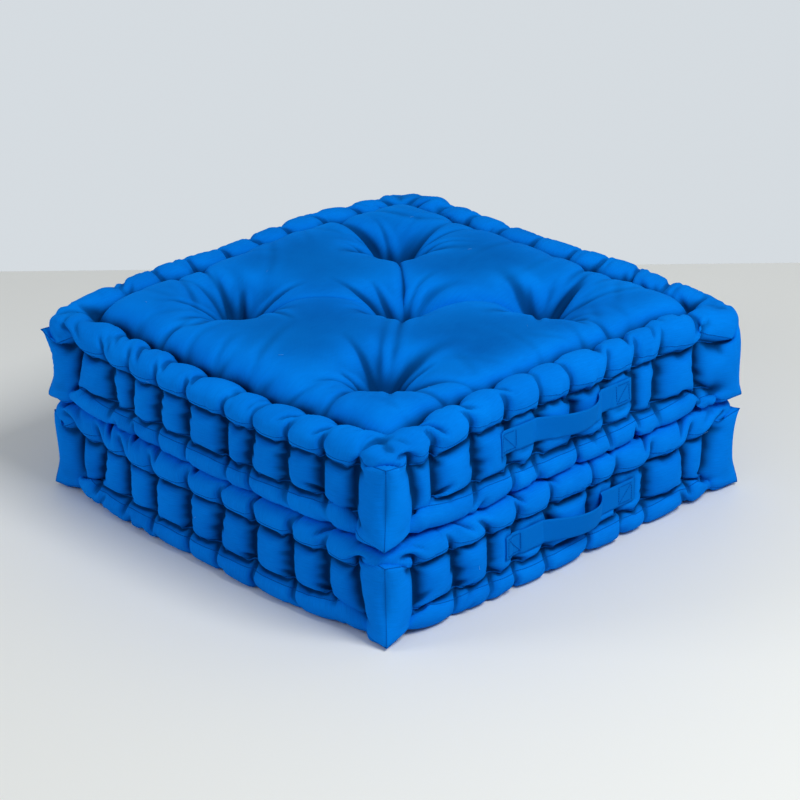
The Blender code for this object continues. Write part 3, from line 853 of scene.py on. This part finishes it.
def add_pattern_uvs(mesh, cover):
    """Each point's place on the pattern that was cut, in metres, with the pieces side by side."""
    n, rows = cover.cells, cover.rows
    flat = np.arange(n + 1) * cover.cell
    across, back = np.meshgrid(flat, flat, indexing="ij")
    uvs = []
    for upper in (True, False):
        place = np.stack([across + (0 if upper else 1), back], -1)
        uvs.append(quads_of(place, upper).reshape(-1, 2))
    along, down = np.meshgrid(np.arange(4 * n + 1) * cover.cell, np.arange(rows + 1) * cover.step)
    place = np.stack([along, 1 + down], -1)
    corners = [place[1:, :-1], place[1:, 1:], place[:-1, 1:], place[:-1, :-1]]
    uvs.append(np.stack(corners, 2).reshape(-1, 2))
    layer = mesh.uv_layers.new(name="pattern")
    layer.data.foreach_set("uv", np.concatenate(uvs).ravel())


def resampled(path, spacing, closed=False):
    """The same path with evenly spaced points, as near the spacing as fits."""
    path = np.asarray(path, float)
    if closed:
        path = np.vstack([path, path[:1]])
    along = np.concatenate([[0], np.cumsum(np.linalg.norm(np.diff(path, axis=0), axis=1))])
    count = max(2, round(along[-1] / spacing) + 1)
    places = np.linspace(0, along[-1], count)
    points = np.stack([np.interp(places, along, path[:, axis]) for axis in range(3)], 1)
    return points[:-1] if closed else points


def tube(path, radius, closed=False, sides=6):
    """A round thread along a path, as points and faces. The radius may differ from point to point."""
    path = np.asarray(path, float)
    if closed:
        tangent = unit(np.roll(path, -1, axis=0) - np.roll(path, 1, axis=0))
    else:
        tangent = unit(np.gradient(path, axis=0))
    frame_x = np.zeros_like(path)
    last = np.array([0.3, 0.2, 1.0])
    for index, ahead in enumerate(tangent):
        last = last - ahead * (last @ ahead)
        last = last / np.linalg.norm(last)
        frame_x[index] = last
    frame_y = np.cross(tangent, frame_x)
    angle = np.arange(sides) * 2 * math.pi / sides
    radius = np.broadcast_to(radius, len(path))[:, None, None]
    ring = np.cos(angle)[None, :, None] * frame_x[:, None] + np.sin(angle)[None, :, None] * frame_y[:, None]
    points = (path[:, None] + radius * ring).reshape(-1, 3)
    grid = np.arange(len(points)).reshape(-1, sides)
    here, there = (grid, np.roll(grid, -1, axis=0)) if closed else (grid[:-1], grid[1:])
    quads = np.stack([here, np.roll(here, -1, axis=1), np.roll(there, -1, axis=1), there], -1)
    faces = quads.reshape(-1, 4).tolist()
    if not closed:
        faces += [grid[0][::-1].tolist(), grid[-1].tolist()]
    return points, faces


def threads(prefix, name, material, paths, radius, closed=False, sides=6, in_frame=True):
    """One piece made of threads along several paths, in place of the frame's part of that name."""
    points, faces, count = [], [], 0
    for path in paths:
        more, sides_of = tube(path, radius, closed, sides)
        points.append(more)
        faces += [[index + count for index in face] for face in sides_of]
        count += len(more)
    part, body = f"{prefix}_{name}", prefix + "_cushion"
    nodes = [part] if in_frame else []
    thing(part + "_sewn", body, material, np.concatenate(points), faces, nodes)


def thing(name, body, material, points, faces, nodes):
    piece = meshed(name, points, faces, material)
    if body:
        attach(piece, body)
    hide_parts(*nodes)
    return piece


def stitched(path):
    """Short lengths of a path, one for each stitch that shows."""
    path = resampled(path, STITCH_PITCH / 8)
    shows = round(8 * STITCH_LENGTH / STITCH_PITCH) + 1
    return [path[start : start + shows] for start in range(0, len(path) - shows, 8)]


def sew_seams(prefix, cover, points, normals, material):
    """The seam thread where each panel meets the boxing, and up each corner of the boxing."""
    for upper, name in ((True, "top"), (False, "bottom")):
        rim = cover.rim(cover.panels[upper])
        path = resampled(points[rim] + normals[rim] * SEAM_PROUD, SEAM_STITCH / 4, closed=True)
        beat = np.abs(np.cos(np.arange(len(path)) * math.pi / 4))
        radius = SEAM_THREAD * (0.65 + 0.35 * beat)
        threads(prefix, f"{name}_seam", material, [path], radius, closed=True)
    corners = ("front_left", "front_right", "back_right", "back_left")
    for side, name in enumerate(corners):
        column = cover.boxing[:, side * cover.cells]
        path = resampled(points[column] + normals[column] * SEAM_PROUD, SEAM_STITCH / 4)
        threads(prefix, f"corner_seam_{name}", material, [path], SEAM_THREAD * 0.85)


def sew_rolls(prefix, cover, points, normals, material):
    """The twine that ties each roll: it runs in the crease, and dives under the cloth past each corner block.
    """
    for upper, name in ((True, "top"), (False, "bottom")):
        line = cover.boxing[cover.crease_row(upper)]
        place = abs(np.arange(4 * cover.cells) % cover.cells / cover.cells * 2 - 1) * HALF
        hidden = np.clip((place - (HALF - CORNER_BLOCK)) / 0.008, 0, 1)[:, None]
        path = points[line] + normals[line] * (TWINE * 0.6 - TWINE_DIVE * hidden)
        path = resampled(path, 0.002, closed=True)
        threads(prefix, f"{name}_roll_twine", material, [path], TWINE, closed=True)


def sew_tufts(prefix, cover, points, material):
    """Each tuft's twine: a loop through the whole cushion, pulled tight, with a short bar at each end."""
    for name, (x, y) in cover.work.tufts.items():
        column, row = cover.tuft_at(x, y)
        low, high = (points[cover.panels[upper][column, row]][2] for upper in (False, True))
        turn = (x * 31 + y * 17) * 9
        across = np.array([math.cos(turn), math.sin(turn)]) * TUFT_BAR / 2
        place = np.array([x, y + CENTRE_Y])
        proud = TUFT_TWINE * 0.9
        loop = []
        for sign, start, end in ((1, low - proud, high + proud), (-1, high + proud, low - proud)):
            for share in np.linspace(0, 1, 24):
                inset = 1 - 0.8 * math.sin(math.pi * share)
                z = start + (end - start) * share
                loop.append((*(place + sign * across * inset), z))
        path = resampled(loop, TUFT_TWINE, closed=True)
        threads(prefix, f"tuft_tie_{name}", material, [path], TUFT_TWINE, closed=True, sides=8)


def blurred(grid):
    """Each value's mean with its eight neighbours."""
    wide = np.pad(grid, 1, mode="edge")
    rows, columns = grid.shape
    return np.mean([wide[i : i + rows, j : j + columns] for i in range(3) for j in range(3)], axis=0)


def strap_path(tree, middle):
    """Where the handle's outer face is, as a grid along and across it, and the cloth under it."""
    along = np.linspace(-HANDLE_HALF, HANDLE_HALF, 221)
    across = np.linspace(-STRAP_HALF_WIDTH, STRAP_HALF_WIDTH, 13)
    cloth = np.zeros((len(along), len(across)))
    for i, x in enumerate(along):
        for j, z in enumerate(across):
            hit = tree.ray_cast(Vector((x, -0.5, middle + z)), Vector((0, 1, 0)))[0]
            cloth[i, j] = -hit.y if hit else 0.28
    for _ in range(6):
        cloth = np.maximum(cloth, blurred(cloth))
    for _ in range(4):
        cloth = blurred(cloth)
    share = np.clip((along / TAB_NEAR + 1) / 2, 0, 1)
    arch = share**1.3 * (1 - share) ** 0.8
    arch /= arch.max()
    end = cloth[abs(along) > TAB_NEAR].mean()
    bowed = end + HANDLE_BOW * arch
    tilt = across / STRAP_HALF_WIDTH * HANDLE_TILT
    outer = np.maximum(cloth, bowed[:, None] + tilt[None, :] * arch[:, None]) + STRAP_LIFT
    return along, across, outer, middle - HANDLE_SAG * arch


def make_handle(prefix, tree, base, material, thread):
    height = HINGE_Z + HANDLE_RISE[prefix] + base
    along, across, outer, middle = strap_path(tree, height)
    edge = 1 - (abs(across) / STRAP_HALF_WIDTH) ** 6 * 0.55  # the folded edges are rounded
    half = STRAP_THICK / 2 * edge
    x = np.broadcast_to(along[:, None], outer.shape)
    z = middle[:, None] + across[None, :]
    front = np.stack([x, -(outer + half + STRAP_THICK / 2), z], -1)
    back = np.stack([x, -(outer - half + STRAP_THICK / 2), z], -1)
    loop = np.concatenate([front, back[:, ::-1]], axis=1)
    centre = len(along) // 2
    for name, part, sign in (("left", loop[: centre + 1], -1), ("right", loop[centre:], 1)):
        grid = np.arange(part.shape[0] * part.shape[1]).reshape(part.shape[:2])
        here, there = grid[:-1], grid[1:]
        following = np.roll(grid, -1, axis=1)
        quads = np.stack([here, following[:-1], following[1:], there], -1).reshape(-1, 4).tolist()
        quads.append((grid[0][::-1] if sign < 0 else grid[-1]).tolist())
        nodes = [f"{prefix}_handle_end_{name}"] + ([f"{prefix}_handle_strap"] if sign > 0 else [])
        title, place = f"{prefix}_handle_strap_{name}", part.reshape(-1, 3)
        piece = thing(title, None, material, place, quads, nodes)
        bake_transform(piece)

        def on_strap(u, v):
            i = np.interp(sign * u, along, np.arange(len(along)))
            j = np.interp(v, across, np.arange(len(across)))
            low_i, low_j = int(min(i, len(along) - 2)), int(min(j, len(across) - 2))
            share_i, share_j = i - low_i, j - low_j
            corner = front[low_i : low_i + 2, low_j : low_j + 2]
            row = corner[0] * (1 - share_i) + corner[1] * share_i
            return row[0] * (1 - share_j) + row[1] * share_j - np.array([0, STITCH_THREAD * 0.4, 0])

        left, right = HANDLE_HALF - STITCH_BOX, HANDLE_HALF - STITCH_EDGE
        high = STRAP_HALF_WIDTH - STITCH_EDGE
        low = -high
        corners = [(left, low), (right, low), (right, high), (left, high), (left, low), (right, high)]
        sewn = []
        for (u0, v0), (u1, v1) in zip(corners, corners[1:]):
            run = [on_strap(u0 + (u1 - u0) * t, v0 + (v1 - v0) * t) for t in np.linspace(0, 1, 40)]
            sewn += stitched(run)
        threads(prefix, f"handle_stitch_{name}", thread, sewn, STITCH_THREAD, sides=5)


def loose_ends(prefix, tree, seed, spots, material):
    """Ends of thread left by the sewing, and a few specks of lint."""
    rng = np.random.default_rng(seed)
    strands = []
    for origin, aim, length in spots:
        hit, normal, _, _ = tree.ray_cast(Vector(origin), Vector(aim))
        if hit is None:
            continue
        start, out = np.array(hit), np.array(normal)
        heading = unit(np.cross(out, rng.normal(0, 1, 3)))
        curl = unit(np.cross(out, heading)) * rng.uniform(-1, 1)
        steps = np.linspace(0, 1, 9)[:, None]
        rise = out * (0.0003 + length * 0.25 * steps * (1 - steps * 0.8))
        strands.append(start + heading * length * steps + curl * length * steps**2 * 0.5 + rise)
    threads(prefix, "loose_threads", material, strands, LINT, sides=4, in_frame=False)


# Studio

FLOOR_SIZE = 12.0
FLOOR_BACK = 0.733  # how far behind the origin the floor ends, seen from the camera
FLOOR_DROP = 0.0002  # clear of the lower cover's underside


def make_stage():
    """A pale floor, square to the camera. Beyond its far edge the world's colour is the wall."""
    bpy.ops.mesh.primitive_plane_add(size=FLOOR_SIZE)
    floor = bpy.context.object
    floor.name = "floor"
    away = Vector((-math.sin(CAMERA_AZIMUTH), math.cos(CAMERA_AZIMUTH), 0))
    floor.rotation_euler.z = CAMERA_AZIMUTH
    floor.location = away * (FLOOR_BACK - FLOOR_SIZE / 2) - Vector((0, 0, FLOOR_DROP))
    floor.data.materials.append(shader_of("floor", (0.80, 0.82, 0.815), 0.5, 0.3)[0])


CAMERA_AZIMUTH, CAMERA_ELEVATION, CAMERA_ROLL = (math.radians(v) for v in (-43.37, 24.41, -0.63))
CAMERA_PLACE = Vector((-2.2974, -2.4444 + CENTRE_Y, 1.638))


def make_camera():
    lens = bpy.data.cameras.new("camera")
    lens.lens, lens.sensor_width = 135, 36
    camera = bpy.data.objects.new("camera", lens)
    bpy.context.scene.collection.objects.link(camera)
    look = Matrix.Rotation(CAMERA_AZIMUTH, 4, "Z") @ Matrix.Rotation(math.pi / 2 - CAMERA_ELEVATION, 4, "X")
    camera.matrix_world = Matrix.Translation(CAMERA_PLACE) @ look @ Matrix.Rotation(CAMERA_ROLL, 4, "Z")
    bpy.context.scene.camera = camera


def make_light(name, place, size, power, colour=(1, 1, 1)):
    light = bpy.data.lights.new(name, "AREA")
    light.size, light.energy, light.color = size, power, colour
    lamp = bpy.data.objects.new(name, light)
    bpy.context.scene.collection.objects.link(lamp)
    lamp.location = place
    lamp.rotation_euler = (Vector((0, 0, HEIGHT)) - Vector(place)).to_track_quat("-Z", "Y").to_euler()


def make_lights():
    """Soft light from all round above, the pale wall below the horizon, and a large key at the right."""
    world = bpy.data.worlds.new("studio")
    bpy.context.scene.world = world
    world.use_nodes = True
    tree = world.node_tree
    direction = node(tree, "TexCoord", {}, {}).outputs["Generated"]
    height = node(tree, "SeparateXYZ", {}, {"Vector": direction}).outputs["Z"]
    above = node(tree, "Math", {"operation": "GREATER_THAN"}, {0: height, 1: 0.0}).outputs[0]
    shade = mixed(tree, (0.575, 0.61, 0.64), (0.345, 0.35, 0.35), above)
    fill(tree, tree.nodes["Background"], {"Color": shade})
    make_light("key", (0.1, -1.9, 2.45), 1.2, 49, (1.0, 0.99, 0.97))
    make_light("window", (-3.0, 1.8, 1.6), 1.4, 24, (1.0, 1.0, 0.99))


# Where each loose end or speck is: a place, the way down to the cloth, and its length
DOWN, BACK, RIGHT = (0, 0, -1), (0, 1, 0), (1, 0, 0)
LOOSE = {
    "upper": [
        *(((x, y, 0.5), DOWN, length) for x, y, length in (
            (-0.18, -0.12, 0.005), (-0.13, -0.19, 0.004), (-0.21, -0.03, 0.006), (0.05, -0.17, 0.004),
            (0.17, 0.05, 0.005), (-0.05, 0.18, 0.004), (0.21, 0.19, 0.005), (-0.22, 0.21, 0.004),
        )),
        ((-0.5, 0.1, 0.21), RIGHT, 0.005),
    ],
    "lower": [
        ((0.246, -0.5, 0.085), BACK, 0.014),
        ((0.243, -0.5, 0.083), BACK, 0.011),
        ((0.243, -0.5, 0.086), BACK, 0.009),
        ((-0.16, -0.5, 0.06), BACK, 0.005),
        ((-0.5, 0.02, 0.06), RIGHT, 0.005),
    ],
}


def main():
    view = bpy.context.scene.view_settings
    view.view_transform, view.look = "Standard", "Medium High Contrast"
    make_camera()
    make_lights()
    make_stage()
    cover_cloth = cotton("blue_cotton", (0.0, 0.182, 0.62), (0.0, 0.140, 0.51))
    lower, lower_points = simulated("lower", 11, HEIGHT + 0.0002, 0)
    upper, upper_points = simulated("upper", 3, HEIGHT + 0.0260, UPPER_SWAY)
    # The same cotton as the cover, made lighter to offset the painted shade that its material lays evenly on
    # the strap, whose mesh has no crease or hollow depths
    strap_cloth = cotton("strap_cotton", (0.0, 0.215, 0.73), (0.0, 0.175, 0.62))
    thread = twisted("thread", (0.0, 0.138, 0.52))
    lint = twisted("lint", (0.22, 0.50, 0.88))
    for name, cover, points, base in (
        ("lower", lower, lower_points, 0.0),
        ("upper", upper, upper_points, UPPER_BASE),
    ):
        points = points + np.array([0, CENTRE_Y, base])
        normals = cover.normals(points)
        make_cover(name, cover, points, cover_cloth)
        tree = BVHTree.FromPolygons(points.tolist(), cover.faces().tolist())
        sew_seams(name, cover, points, normals, thread)
        sew_rolls(name, cover, points, normals, thread)
        sew_tufts(name, cover, points, thread)
        make_handle(name, tree, base, strap_cloth, thread)
        loose_ends(name, tree, 5, LOOSE[name], lint)


main()
